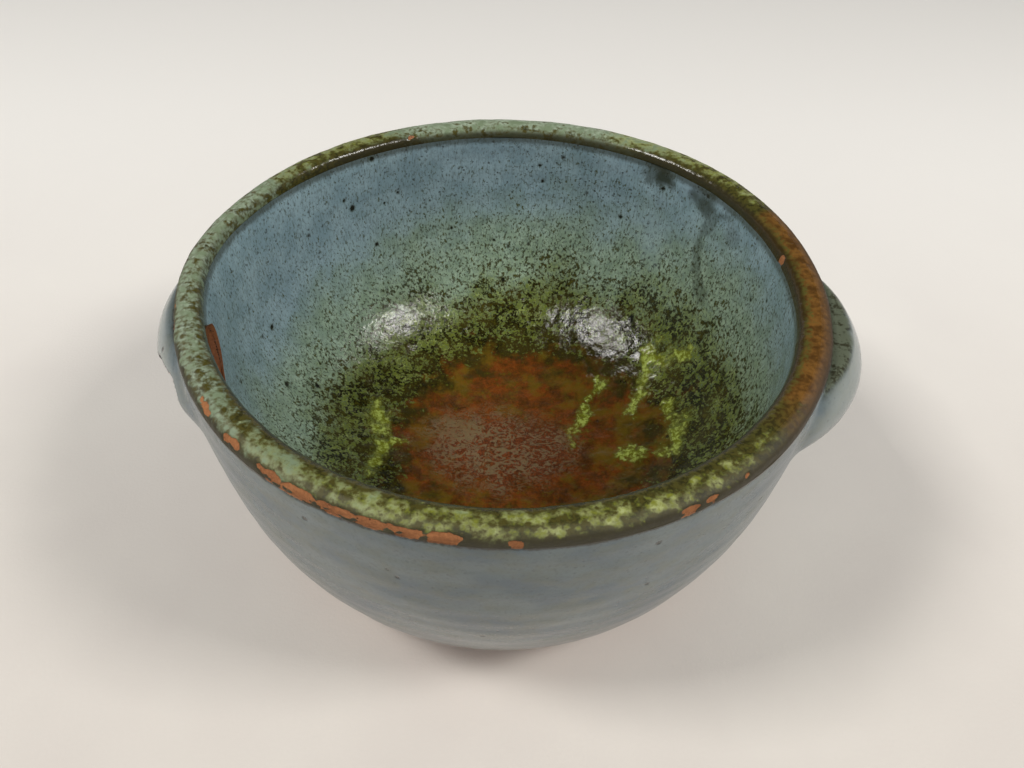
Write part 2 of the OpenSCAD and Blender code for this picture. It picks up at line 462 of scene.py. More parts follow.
# ---- displacement
def throwing_rings(points, pitch, seed):
    """Low ridges left by the fingers as the wall was pulled up, spiralling a little."""
    angle = np.arctan2(points[..., 1], points[..., 0])
    wander = noise(points * (0.3, 0.3, 1), 14, seed) * 1.2
    return np.sin(2 * np.pi * points[..., 2] / pitch + angle + wander)


def displaced():
    d = np.zeros_like(grid_r)
    on_lip = ~outside & ~inside
    wide = rough_noise(base, 26, 61)
    d += np.where(outside, 0.035 * throwing_rings(base, 6.5, 63) + 0.16 * wide, 0)
    d += np.where(outside, 0.03 * rough_noise(base, 5, 65), 0)
    d += np.where(on_lip, 0.10 * rough_noise(base, 7, 67) + 0.035 * rough_noise(base, 1.8, 69), 0)
    upright = smooth(base[..., 2], FLOOR_TOP + 4, FLOOR_TOP + 25)
    d += np.where(inside, upright * (0.035 * throwing_rings(base, 7.5, 71) + 0.10 * wide), 0)
    lumpy = 1 - smooth(floor_q, 0.9, 1.5)
    d += np.where(inside, (0.03 + 0.13 * lumpy) * rough_noise(base, 4.2, 73), 0)
    d += np.where(inside, 0.035 * lumpy * rough_noise(base, 1.7, 77), 0)
    d -= 0.25 * smudge
    d -= 0.32 * bare
    d += 0.12 * veins
    d -= 0.2 * pits
    edge = smooth(np.abs(lip_c), 0.9, 1.0) * (1 - smooth(np.abs(lip_c), 1.0, 1.35))
    d -= 0.08 * edge
    fade = smooth(row, 0, 3)
    return base + normal * (d * fade)[..., None]


grid = displaced()
hole_d, _ = hole_distance(grid)
through = (hole_d < 0) & (outside | inside)
roll = np.where(hole_d < 0.9, (1 - np.clip(hole_d, 0, 0.9) / 0.9) ** 2, 0) * 0.5
grid += np.where(outside, -1.0, 1.0)[..., None] * roll[..., None] * hole_out * (hole_d < 0.9)[..., None]
normal = normals_of(grid)

# Flat tops of the lugs, as far as the rounding of their edges and fainter on the left one
ledge = smooth(normal[..., 2], 0.6, 0.85) * smooth(grid_z, LIP_Z - 2.2, LIP_Z - 1.0) * outside
ledge = ledge * np.where(grid_a > -90, 1.0, 0.15) * (np.abs(grid_a) < 175)
ledge = ledge * (1 - smooth(grid_r + 0.7 * rough_noise(base, 3, 57), RIM_R + 3.2, RIM_R + 5.4))
# How far a lug stands out from the wall, its face (where a pale reflection is painted on), and each lug's
# share of the grid
proud = grid_r - wall_out(np.minimum(grid_z, LIP_Z))
lug_face_painted_light = smooth(proud, 0.3, 4.0) * outside * (1 - ledge)
lug_share = {
    name: outside & (proud > 0.12) & (np.abs(turn_to(grid_a, lug["at"])) < 45)
    for name, lug in LUGS.items()
}


# ---- making meshes
def make_mesh(name, points, faces, attributes=None):
    """A smooth-shaded mesh from points in millimetres and faces of equal size."""
    mesh = bpy.data.meshes.new(name)
    faces = np.asarray(faces, np.int32)
    sides = faces.shape[1]
    mesh.vertices.add(len(points))
    mesh.vertices.foreach_set("co", (np.asarray(points) * MM).astype(np.float32).ravel())
    mesh.loops.add(faces.size)
    mesh.loops.foreach_set("vertex_index", faces.ravel())
    mesh.polygons.add(len(faces))
    mesh.polygons.foreach_set("loop_start", np.arange(len(faces), dtype=np.int32) * sides)
    mesh.polygons.foreach_set("use_smooth", np.ones(len(faces), bool))
    mesh.update(calc_edges=True)
    mesh.validate()
    for key, values in (attributes or {}).items():
        made = mesh.attributes.new(key, "FLOAT", "POINT")
        made.data.foreach_set("value", np.asarray(values, np.float32).ravel())
    piece = bpy.data.objects.new(name, mesh)
    bpy.context.scene.collection.objects.link(piece)
    return piece


def quads_of(rows, columns):
    """Faces of a grid that closes round its columns, for all rows."""
    index = np.arange(rows * columns).reshape(rows, columns)
    right = np.roll(index, -1, 1)
    return np.stack([index[:-1], right[:-1], right[1:], index[1:]], -1).reshape(-1, 4)


def compact(points, faces, attributes):
    """Drops the points that no face uses."""
    used, new = np.unique(faces, return_inverse=True)
    return points[used], new.reshape(faces.shape), {k: v[used] for k, v in attributes.items()}


all_quads = quads_of(ROWS, TURNS)
flat_points = grid.reshape(-1, 3).copy()
cut = (through.ravel()[all_quads]).any(1)
edge_points = np.intersect1d(all_quads[cut], all_quads[~cut])
snap_to_hole(flat_points, edge_points)
grid_masks = {
    "lip_c": lip_c, "floor_q": floor_q, "bare": bare, "vein": veins, "smudge": smudge, "pale": pale,
    "scuff": scuff, "hole_d": np.clip(hole_d, -1, 6), "drop": drop, "ledge": ledge,
    "lug_face_painted_light": lug_face_painted_light, "greener": greener, "pit": pits,
    "brown": around(grid_a, LIP_BROWN), "gold": around(grid_a, LIP_GOLD), "dark": around(grid_a, LIP_DARK),
}


def split_faces():
    """Every face outside the yarn hole goes to one piece: lip, liner, outer coat or a lug's coat."""
    face_row = all_quads[:, 0] // TURNS
    groups = {}
    lug_any = np.zeros(len(all_quads), bool)
    for key, share in lug_share.items():
        chosen = share.ravel()[all_quads].any(1) & (face_row < LIP_FROM)
        groups[key + "_coat"] = chosen & ~cut
        lug_any |= chosen
    groups["outer_coat"] = (face_row < LIP_FROM) & ~lug_any & ~cut
    groups["lip_coat"] = (face_row >= LIP_FROM) & (face_row < LIP_TO)
    groups["liner_coat"] = (face_row >= LIP_TO) & ~cut
    return groups


def coat_pieces():
    masks = {k: v.ravel() for k, v in grid_masks.items()}
    return {
        name: make_mesh(name, *compact(flat_points, all_quads[chosen], masks))
        for name, chosen in split_faces().items()
    }


def clay_outline():
    """The underside's outline from its middle out to the coat's lower edge."""
    turn = np.radians(np.linspace(0, 75, 16))
    wide = wall_out(np.array(TURN_Z)) - COAT_T - FOOT_R
    r = np.concatenate([np.linspace(0, FOOT_R, 24)[:-1], FOOT_R + wide * np.sin(turn)])
    z = np.concatenate([np.full(23, FOOT_H), TURN_Z - (TURN_Z - FOOT_H) * np.cos(turn)])
    up = np.linspace(TURN_Z, COAT_Z, 8)
    r = np.concatenate([r, wall_out(up) - COAT_T])
    z = np.concatenate([z, up])
    return r, z


def revolve(r, z, columns):
    a = np.radians(np.arange(columns) * 360.0 / columns - 180.0)
    return np.stack([np.outer(r, np.cos(a)), np.outer(r, np.sin(a)), np.outer(z, np.ones(columns))], -1)


def hole_tunnel():
    """The cut clay of the hole's wall, from one coat of glaze to the other."""
    count, rings = 168, 40
    t = np.linspace(0, 2 * np.pi, count, endpoint=False)
    radius = HOLE_H / 2 + 0.04
    a = np.sign(np.cos(t)) * HOLE_FLAT + radius * np.cos(t)
    b = radius * np.sin(t)
    line = hole_start + np.outer(a, hole_side) + np.outer(b, hole_up)
    far = np.linspace(-3, 22, 500)
    p = line[:, None, :] + far[None, :, None] * hole_out
    r = np.hypot(p[..., 0], p[..., 1])
    angle = np.degrees(np.arctan2(p[..., 1], p[..., 0]))
    skin = wall_out(np.minimum(p[..., 2], LIP_Z))
    for lug in LUGS.values():
        skin = np.maximum(skin, lug_reach(lug, turn_to(angle, lug["at"]), p[..., 2]))
    enter = far[np.argmax(r > INNER_R, axis=1)] + 0.35
    leave = far[np.argmax(r > skin, axis=1)] - 0.3
    place = enter[:, None] + (leave - enter)[:, None] * np.linspace(0, 1, rings)[None, :]
    points = line[:, None, :] + place[..., None] * hole_out
    points = points.transpose(1, 0, 2)
    away = line - hole_start
    away -= np.outer(np.clip(away @ hole_side, -HOLE_FLAT, HOLE_FLAT), hole_side)
    away /= np.linalg.norm(away, axis=1, keepdims=True)
    drag = 0.10 * rough_noise(points, 1.6, 81) + 0.05 * np.sin(away @ hole_side * 60)[None, :]
    points = points + (np.abs(drag) * np.minimum(1, np.arange(rings) / 3)[:, None])[..., None] * away[None]
    return points


def clay_wall():
    """The thrown clay under the coats, closed, with the hole's wall."""
    coarse = (slice(0, ROWS, CLAY_SKIP), slice(0, TURNS, CLAY_SKIP))
    skin = grid - normal * COAT_SKIN
    reach = np.hypot(skin[..., 0], skin[..., 1])
    limit = wall_out(np.minimum(skin[..., 2], LIP_Z)) + pushed - COAT_SKIN
    skin[..., :2] *= np.where(outside, np.minimum(1, limit / reach), 1)[..., None]
    shell = skin[coarse]
    middle = skin[-1:, ::CLAY_SKIP]
    below = revolve(*clay_outline(), TURNS // CLAY_SKIP)
    points = np.concatenate([below, shell, middle])
    points[-1] = points[-1].mean(0)
    faces = quads_of(points.shape[0], points.shape[1])
    in_hole = (hole_distance(points)[0] < 1.2).ravel()[faces].any(1)
    tunnel = hole_tunnel()
    tunnel_faces = quads_of(*tunnel.shape[:2])[:, ::-1] + points.shape[0] * points.shape[1]
    return make_mesh(
        "clay_body",
        np.concatenate([points.reshape(-1, 3), tunnel.reshape(-1, 3)]),
        np.concatenate([faces[~in_hole], tunnel_faces]),
    )


def lug_clay(name):
    """A lug's clay under its coat, closed against the wall."""
    rows, columns = slice(0, LIP_FROM, 3), slice(0, TURNS, CLAY_SKIP)
    share = lug_share[name][rows, columns]
    out = (grid - normal * COAT_SKIN)[rows, columns]
    wall_r = wall_out(np.minimum(out[..., 2], LIP_Z)) - COAT_T - 0.3
    reach = np.hypot(out[..., 0], out[..., 1])
    back = out * np.stack([wall_r / reach, wall_r / reach, np.ones_like(reach)], -1)
    faces = quads_of(*share.shape)
    faces = faces[(share.ravel()[faces].all(1)) & ((hole_distance(out)[0] > 0.8).ravel()[faces].all(1))]
    count = share.size
    edges = np.concatenate([faces[:, [k, (k + 1) % 4]] for k in range(4)])
    key = np.sort(edges, 1)
    _, first, times = np.unique(key, axis=0, return_index=True, return_counts=True)
    rim = edges[first[times == 1]]
    sides = np.stack([rim[:, 1], rim[:, 0], rim[:, 0] + count, rim[:, 1] + count], 1)
    both = np.concatenate([out.reshape(-1, 3), back.reshape(-1, 3)])
    faces = np.concatenate([faces, faces[:, ::-1] + count, sides])
    points, faces, _ = compact(both, faces, {})
    return make_mesh(name + "_clay", points, faces)


def turned_foot():
    """The foot ring with soft edges and turning marks."""
    inner, outer = FOOT_R - FOOT_W, FOOT_R
    r = np.array([
        inner - 0.2, inner + 0.2, inner + 0.8, inner + 1.5, inner + 2.4, inner + 4.2,
        outer - 2.6, outer - 1.4, outer - 0.6, outer - 0.2, outer, outer + 0.2,
    ])
    z = np.array([
        FOOT_H + 0.4, FOOT_H * 0.7, 1.5, 0.5, 0.05, 0.0,
        0.0, 0.15, 0.8, FOOT_H * 0.4, FOOT_H * 0.75, FOOT_H + 0.4,
    ])
    fine_r, fine_z = resample(r[None, :], z[None, :], 60)
    points = revolve(fine_r[0], fine_z[0], 540)
    spin = np.sin(points[..., 2] * 5) * 0.05 + 0.05 * rough_noise(points, 3, 91)
    sole = smooth(points[..., 2], 0.1, 0.8)
    reach = np.linalg.norm(points[..., :2], axis=-1, keepdims=True)
    radial = points / np.maximum(reach, 1e-6) * (1, 1, 0)
    points = points + radial * (spin * sole)[..., None]
    return make_mesh("turned_foot", points.reshape(-1, 3), quads_of(60, 540)[:, ::-1])


# ---- materials
def linear(*display):
    """A colour given as 0 to 255 display values of red, green and blue, made linear."""
    values = [c / 255 for c in display]
    return tuple(c / 12.92 if c <= 0.04045 else ((c + 0.055) / 1.055) ** 2.4 for c in values) + (1.0,)


class Graph:
    """A material under construction, with one short call for each kind of node."""

    def __init__(self, name):
        self.material = bpy.data.materials.new(name)
        self.material.use_nodes = True
        self.tree = self.material.node_tree
        self.tree.nodes.clear()
        self.shader = self.tree.nodes.new("ShaderNodeBsdfPrincipled")
        output = self.tree.nodes.new("ShaderNodeOutputMaterial")
        self.tree.links.new(self.shader.outputs[0], output.inputs[0])
        place = self.tree.nodes.new("ShaderNodeTexCoord").outputs["Object"]
        self.place = self.vector("SCALE", place, scale=1 / MM)

    def put(self, socket, value):
        if isinstance(value, bpy.types.NodeSocket):
            self.tree.links.new(value, socket)
        else:
            socket.default_value = value

    def vector(self, operation, a, b=None, scale=None):
        node = self.tree.nodes.new("ShaderNodeVectorMath")
        node.operation = operation
        self.put(node.inputs[0], a)
        if b is not None:
            self.put(node.inputs[1], b)
        if scale is not None:
            node.inputs["Scale"].default_value = scale
        return node.outputs["Value" if operation == "DISTANCE" else "Vector"]

    def math(self, operation, a, b=None):
        node = self.tree.nodes.new("ShaderNodeMath")
        node.operation = operation
        self.put(node.inputs[0], a)
        if b is not None:
            self.put(node.inputs[1], b)
        return node.outputs[0]

    def add(self, *values):
        total = values[0]
        for value in values[1:]:
            total = self.math("ADD", total, value)
        return total

    def times(self, *values):
        total = values[0]
        for value in values[1:]:
            total = self.math("MULTIPLY", total, value)
        return total

    def minus(self, a, b):
        return self.math("SUBTRACT", a, b)

    def mask(self, name):
        node = self.tree.nodes.new("ShaderNodeAttribute")
        node.attribute_name = name
        return node.outputs["Fac"]

    def axis(self, name):
        """The object's own X, Y or Z in millimetres."""
        node = self.tree.nodes.new("ShaderNodeSeparateXYZ")
        self.put(node.inputs[0], self.place)
        return node.outputs[name]

    def moved(self, place, shift):
        return self.vector("ADD", place, (shift, shift * 0.7, shift * 1.3)) if shift else place

    def noise(self, size, detail=2.0, roughness=0.5, distortion=0.0, stretch=(1, 1, 1), shift=0.0):
        place = self.vector("MULTIPLY", self.place, tuple(1 / (size * s) for s in stretch))
        node = self.tree.nodes.new("ShaderNodeTexNoise")
        self.put(node.inputs["Vector"], self.moved(place, shift))
        node.inputs["Scale"].default_value = 1.0
        node.inputs["Detail"].default_value = detail
        node.inputs["Roughness"].default_value = roughness
        node.inputs["Distortion"].default_value = distortion
        return node.outputs["Fac"]

    def cells(self, size, shift=0.0):
        """Distance from the nearest of scattered points, and a random value for each."""
        place = self.vector("SCALE", self.place, scale=1 / size)
        node = self.tree.nodes.new("ShaderNodeTexVoronoi")
        self.put(node.inputs["Vector"], self.moved(place, shift))
        node.inputs["Scale"].default_value = 1.0
        pick = self.tree.nodes.new("ShaderNodeSeparateColor")
        self.put(pick.inputs[0], node.outputs["Color"])
        return node.outputs["Distance"], pick.outputs[0]

    def smooth(self, value, low, high):
        node = self.tree.nodes.new("ShaderNodeMapRange")
        node.interpolation_type = "SMOOTHSTEP"
        self.put(node.inputs["Value"], value)
        self.put(node.inputs["From Min"], low)
        self.put(node.inputs["From Max"], high)
        return node.outputs["Result"]

    def fall(self, value, low, high):
        """1 below low, 0 above high, smooth between."""
        return self.minus(1.0, self.smooth(value, low, high))

    def swing(self, value, amount):
        """A value that varies about 0.5, moved to vary about zero."""
        return self.times(self.minus(value, 0.5), amount)

    def mix(self, factor, a, b):
        node = self.tree.nodes.new("ShaderNodeMix")
        node.data_type = "RGBA"
        self.put(node.inputs["Factor"], factor)
        self.put(node.inputs[6], a)
        self.put(node.inputs[7], b)
        return node.outputs[2]

    def ramp(self, value, stops):
        node = self.tree.nodes.new("ShaderNodeValToRGB")
        self.put(node.inputs[0], value)
        keys = node.color_ramp.elements
        for k, (at, colour) in enumerate(stops):
            key = keys[k] if k < 2 else keys.new(at)
            key.position, key.color = at, colour
        return node.outputs["Color"]

    def spot(self, centre, radius, soft):
        """1 within a radius of a point, in millimetres."""
        far = self.vector("DISTANCE", self.place, centre)
        return self.fall(far, radius, radius + soft)

    def bump(self, height, distance):
        node = self.tree.nodes.new("ShaderNodeBump")
        node.inputs["Strength"].default_value = 1.0
        node.inputs["Distance"].default_value = distance * MM
        self.put(node.inputs["Height"], height)
        return node.outputs["Normal"]

    def finish(self, colour, roughness, normal, ior=1.5):
        self.put(self.shader.inputs["Base Color"], colour)
        self.put(self.shader.inputs["Roughness"], roughness)
        self.put(self.shader.inputs["Normal"], normal)
        self.shader.inputs["IOR"].default_value = ior
        return self.material


BARE_LIGHT, BARE_DARK = linear(168, 112, 70), linear(112, 68, 40)
IRON = linear(34, 28, 14)
SKY_A, SKY_B = linear(124, 149, 159), linear(144, 168, 177)
SAGE_A, SAGE_B = linear(126, 146, 124), linear(150, 170, 146)
MOSS_A, MOSS_B = linear(90, 100, 36), linear(152, 166, 96)
COAT_BLUE_A, COAT_BLUE_B = linear(82, 96, 104), linear(102, 113, 114)
COAT_GREEN = linear(96, 102, 92)
RUST = [
    (0.33, linear(52, 32, 10)), (0.48, linear(84, 48, 16)), (0.58, linear(106, 54, 18)),
    (0.7, linear(100, 74, 28)),
]


def bare_clay_colour(g):
    """Red-brown clay with light and dark grains and a few dark lumps of grit."""
    grain = g.noise(0.5, 4, 0.7)
    broad = g.noise(6, 3, 0.6, shift=4)
    tone = g.add(g.times(grain, 0.6), g.times(broad, 0.4))
    colour = g.ramp(tone, [(0.3, BARE_DARK), (0.7, BARE_LIGHT)])
    grit, pick = g.cells(1.1, shift=9)
    dark = g.times(g.fall(grit, 0.12, 0.22), g.smooth(pick, 0.6, 0.7))
    return g.mix(g.times(dark, 0.8), colour, linear(48, 24, 14))


def clay_material():
    """Bare fired clay: red-brown, gritty and matte, with turning rings."""
    g = Graph("bare_clay")
    colour = bare_clay_colour(g)
    scorch = g.smooth(g.noise(18, 3, 0.6, shift=7), 0.4, 0.7)
    colour = g.mix(g.times(scorch, 0.3), colour, linear(100, 56, 36))
    grain = g.noise(0.35, 3, 0.7, shift=2)
    rough = g.add(0.62, g.times(grain, 0.25))
    rings = g.noise(1.1, 2, 0.5, stretch=(30, 30, 0.7), shift=3)
    height = g.add(g.times(grain, 0.5), g.times(rings, 0.5))
    return g.finish(colour, rough, g.bump(height, 0.12), ior=1.45)


def pits_and_specks(g, colour, cover):
    """Iron specks burnt through the glaze: many tiny soft ones and a few large."""
    near, pick = g.cells(1.5, shift=3)
    size = g.times(g.smooth(pick, 0.3, 1.0), 0.26)
    tiny = g.fall(near, g.times(size, 0.4), g.add(size, 0.08))
    tiny = g.times(tiny, g.smooth(pick, 0.3, 0.5), 0.75)
    far, pick_far = g.cells(8.0, shift=13)
    ragged = g.add(far, g.swing(g.noise(0.7, 3), 0.1))
    big = g.fall(ragged, 0.03, 0.115)
    big = g.times(big, g.smooth(pick_far, 0.5, 0.6))
    both = g.math("MAXIMUM", g.times(tiny, cover), big)
    return g.mix(g.times(both, 0.85), colour, IRON), both


def chipped(g, colour, fine):
    """Bare clay where the glaze is off, with ragged edges."""
    bare = g.smooth(g.add(g.mask("bare"), g.swing(fine, 0.7)), 0.45, 0.68)
    return g.mix(g.times(bare, 0.95), colour, bare_clay_colour(g)), bare


def darker_ring_at_hole(g, colour, burnt):
    """A narrow ring of darker glaze round the yarn hole."""
    return g.mix(g.fall(g.mask("hole_d"), 0.25, 0.8), colour, burnt)


def liner_material():
    """Blue-grey glaze high on the wall, breaking through speckled sage and olive to rust."""
    g = Graph("liner_glaze")
    q = g.mask("floor_q")
    wide = g.noise(9, 4, 0.55)
    fine = g.noise(1.3, 4, 0.6)
    tiny = g.noise(0.6, 3, 0.65, stretch=(1, 1, 1.7), shift=5)
    blotch = g.noise(4.2, 4, 0.6, shift=8)
    streak = g.noise(0.5, 2, 0.6, stretch=(1, 1, 6), shift=12)

    sky = g.mix(g.smooth(wide, 0.35, 0.65), SKY_A, SKY_B)
    sage = g.mix(g.smooth(blotch, 0.35, 0.65), SAGE_A, SAGE_B)
    moss = g.mix(g.smooth(fine, 0.4, 0.62), MOSS_A, MOSS_B)
    place = g.add(q, g.swing(wide, 0.22), g.swing(blotch, 0.16))
    light = g.mix(g.smooth(place, 1.32, 1.72), sage, sky)
    light = g.mix(g.fall(place, 1.08, 1.34), light, moss)
    light = g.mix(g.times(g.smooth(streak, 0.48, 0.68), 0.4), light, linear(84, 100, 102))
    light = g.mix(g.times(g.smooth(tiny, 0.5, 0.66), 0.6), light, linear(78, 88, 80))

    olive = g.mix(g.smooth(wide, 0.4, 0.62), linear(27, 24, 8), linear(50, 43, 14))
    iron = g.noise(4.5, 4, 0.65, distortion=0.5, shift=11)
    rust = g.ramp(g.add(g.times(iron, 0.7), g.times(tiny, 0.3)), RUST)
    golden = g.smooth(g.add(g.noise(9, 4, 0.62, shift=21), g.swing(q, 0.25)), 0.46, 0.66)
    rust = g.mix(g.times(golden, 0.7), rust, linear(94, 78, 20))
    ragged = g.add(place, g.swing(wide, 0.8), g.swing(blotch, 0.5))
    inner = g.fall(ragged, 0.56, 0.88)
    dark = g.mix(inner, olive, rust)

    # Share of the surface that the dark phase covers, less and less up the wall
    shares = [(0.33, 1), (0.4, 0.74), (0.52, 0.6), (0.64, 0.45), (0.8, 0.24), (0.95, 0.12)]
    cover = g.ramp(g.times(place, 0.5), [(at, (share, share, share, 1)) for at, share in shares])
    coarse = g.add(g.times(fine, 0.5), g.times(blotch, 0.27), g.times(tiny, 0.23))
    peppery = g.add(g.times(fine, 0.3), g.times(blotch, 0.15), g.times(tiny, 0.55))
    mottle = g.add(coarse, g.times(g.smooth(place, 1.2, 1.5), g.minus(peppery, coarse)))
    level = g.add(g.minus(0.66, g.times(cover, 0.3)), g.times(g.mask("greener"), 0.03))
    speck = g.smooth(mottle, g.minus(level, 0.055), g.add(level, 0.045))
    speck = g.math("MAXIMUM", speck, g.smooth(cover, 0.86, 1.0))
    streaky = g.add(g.swing(fine, 2.4), g.swing(blotch, 1.4))
    halo = g.smooth(g.add(g.times(g.mask("vein"), 1.5), streaky), 0.1, 1.0)
    vein = g.smooth(g.add(g.times(g.mask("vein"), 1.7), streaky), 0.6, 1.75)
    dark = g.mix(g.smooth(place, 1.15, 1.5), dark, linear(72, 80, 60))
    dark = g.mix(g.times(halo, 0.8), dark, linear(84, 82, 18))
    speck = g.times(speck, g.minus(1.0, g.times(vein, 0.95)))
    lime = g.mix(g.smooth(fine, 0.42, 0.62), linear(104, 108, 28), linear(160, 174, 84))
    limy = g.math("MAXIMUM", g.smooth(vein, 0.0, 0.5), g.times(g.mask("greener"), 0.3))
    light = g.mix(limy, light, lime)
    colour = g.mix(speck, light, dark)

    # Scratched patch in the middle of the floor: worn orange glaze, and scratches with a painted greyish
    # sheen
    scuff = g.mask("scuff")
    strokes = g.noise(2.6, 5, 0.72, distortion=2.0, stretch=(1.15, 0.85, 1), shift=15)
    solid = g.times(g.spot((-13, 8, FLOOR_TOP), 2, 9), 0.07)
    scratch_and_sheen = g.times(scuff, g.smooth(g.add(strokes, solid), 0.5, 0.55))
    worn = g.mix(g.smooth(tiny, 0.4, 0.6), linear(62, 28, 8), linear(104, 48, 14))
    colour = g.mix(g.times(scuff, 0.75), colour, worn)
    # The scratches' grey is partly wear and partly painted sheen
    colour = g.mix(g.times(scratch_and_sheen, 0.75), colour, linear(106, 94, 66))

    # Smears near the lip, the dark line where the glaze thins at the lip, and the darker ring round the
    # hole
    colour = g.mix(g.times(g.mask("pale"), 0.6), colour, linear(150, 174, 190))
    smear = g.smooth(g.add(mottle, g.mask("smudge")), 0.65, 1.4)
    colour = g.mix(g.times(g.mask("smudge"), smear, 0.75), colour, linear(52, 58, 50))
    under = g.math("ABSOLUTE", g.add(g.mask("lip_c"), 1.1))
    under_lip = g.fall(g.add(under, g.swing(fine, 0.5)), 0.1, 0.5)
    colour = g.mix(g.times(under_lip, 0.7), colour, linear(52, 52, 38))
    colour = darker_ring_at_hole(g, colour, linear(40, 30, 18))

    colour, pits = pits_and_specks(g, colour, g.smooth(q, 1.1, 1.5))
    pit = g.smooth(g.add(g.mask("pit"), g.swing(fine, 0.9)), 0.3, 0.75)
    colour = g.mix(g.times(g.smooth(g.mask("pit"), 0.02, 0.6), 0.45), colour, linear(66, 74, 44))
    colour = g.mix(g.times(pit, 0.95), colour, linear(20, 18, 10))
    holes = 0.0
    for x, y, radius in HOLES_IN_FLOOR:
        holes = g.math("MAXIMUM", holes, g.spot((x, y, FLOOR_TOP), radius, 0.35))
    colour = g.mix(holes, colour, linear(16, 13, 6))

    rough = g.add(0.08, g.times(scuff, 0.25), g.times(speck, 0.05), g.times(g.smooth(wide, 0.4, 0.7), 0.05))
    lumps = g.fall(q, 1.0, 1.6)
    height = g.add(
        g.times(speck, -0.25),
        g.times(blotch, g.add(1.0, g.times(lumps, 1.6))),
        g.times(fine, g.add(0.5, g.times(lumps, 0.5))),
        g.times(pits, -0.8), g.times(holes, -4.0), g.times(scratch_and_sheen, 0.25),
    )
    return g.finish(colour, rough, g.bump(height, 0.14), ior=1.45)


def lip_material():
    """Pale glaze over the lip: mint, yellow-green and brown by turns, broken by iron."""
    g = Graph("rim_glaze")
    c = g.mask("lip_c")
    brown, gold, cover = g.mask("brown"), g.mask("gold"), g.mask("dark")
    blotch = g.noise(2.6, 3, 0.55)
    fine = g.noise(1.1, 3, 0.55, shift=3)
    wide = g.noise(8, 3, 0.5, shift=6)
    mint = g.mix(g.smooth(blotch, 0.35, 0.7), linear(112, 126, 100), linear(158, 172, 150))
    yellow = g.mix(g.smooth(fine, 0.35, 0.65), linear(114, 118, 48), linear(176, 184, 122))
    light = g.mix(g.smooth(g.add(gold, g.swing(blotch, 1.1)), 0.3, 0.75), mint, yellow)
    cloudy = g.add(g.times(blotch, 0.6), g.times(fine, 0.4))
    chestnut = g.mix(g.smooth(cloudy, 0.38, 0.62), linear(74, 50, 22), linear(112, 78, 36))
    olive = g.mix(g.smooth(fine, 0.4, 0.6), linear(46, 44, 22), linear(70, 66, 30))
    dark = g.mix(g.smooth(g.add(brown, g.swing(wide, 0.5)), 0.35, 0.8), olive, chestnut)

    inward = g.times(c, -1.0)
    inner = g.smooth(inward, 0.1, 0.9)
    outer = g.smooth(c, 0.5, 0.95)
    at_inside = g.times(inner, g.add(0.15, g.times(cover, 0.8)))
    share = g.add(cover, at_inside, g.times(outer, 0.35), g.times(brown, 0.75))
    mottle = g.add(g.times(blotch, 0.55), g.times(fine, 0.45))
    level = g.minus(0.65, g.times(share, 0.28))
    speck = g.smooth(mottle, g.minus(level, 0.12), g.add(level, 0.09))
    colour = g.mix(speck, light, dark)
    ashore = g.times(brown, g.smooth(g.add(inward, g.swing(fine, 1.6)), 0.25, 0.7))
    colour = g.mix(g.times(ashore, 0.8), colour, linear(72, 76, 36))
    burnt = g.times(brown, g.smooth(g.add(c, g.swing(blotch, 1.2)), 0.25, 0.85))
    colour = g.mix(g.times(burnt, 0.75), colour, linear(50, 36, 18))

    line = g.add(c, g.swing(fine, 0.3), g.swing(blotch, 0.25))
    from_edge = g.add(g.times(line, -1.0), g.times(cover, 0.45))
    band = g.math("MAXIMUM", g.smooth(line, 0.72, 0.92), g.smooth(from_edge, 0.84, 1.12))
    colour = g.mix(g.times(band, 0.85), colour, g.mix(brown, linear(50, 46, 30), linear(50, 36, 18)))
    colour, bare = chipped(g, colour, fine)

    rough = g.add(0.16, g.times(bare, 0.5), g.times(fine, 0.08), g.times(g.smooth(c, 0.05, 0.55), 0.42))
    height = g.add(g.times(speck, -0.3), g.times(blotch, 1.4), g.times(fine, 0.6), g.times(bare, -0.8))
    return g.finish(colour, rough, g.bump(height, 0.16), ior=1.45)


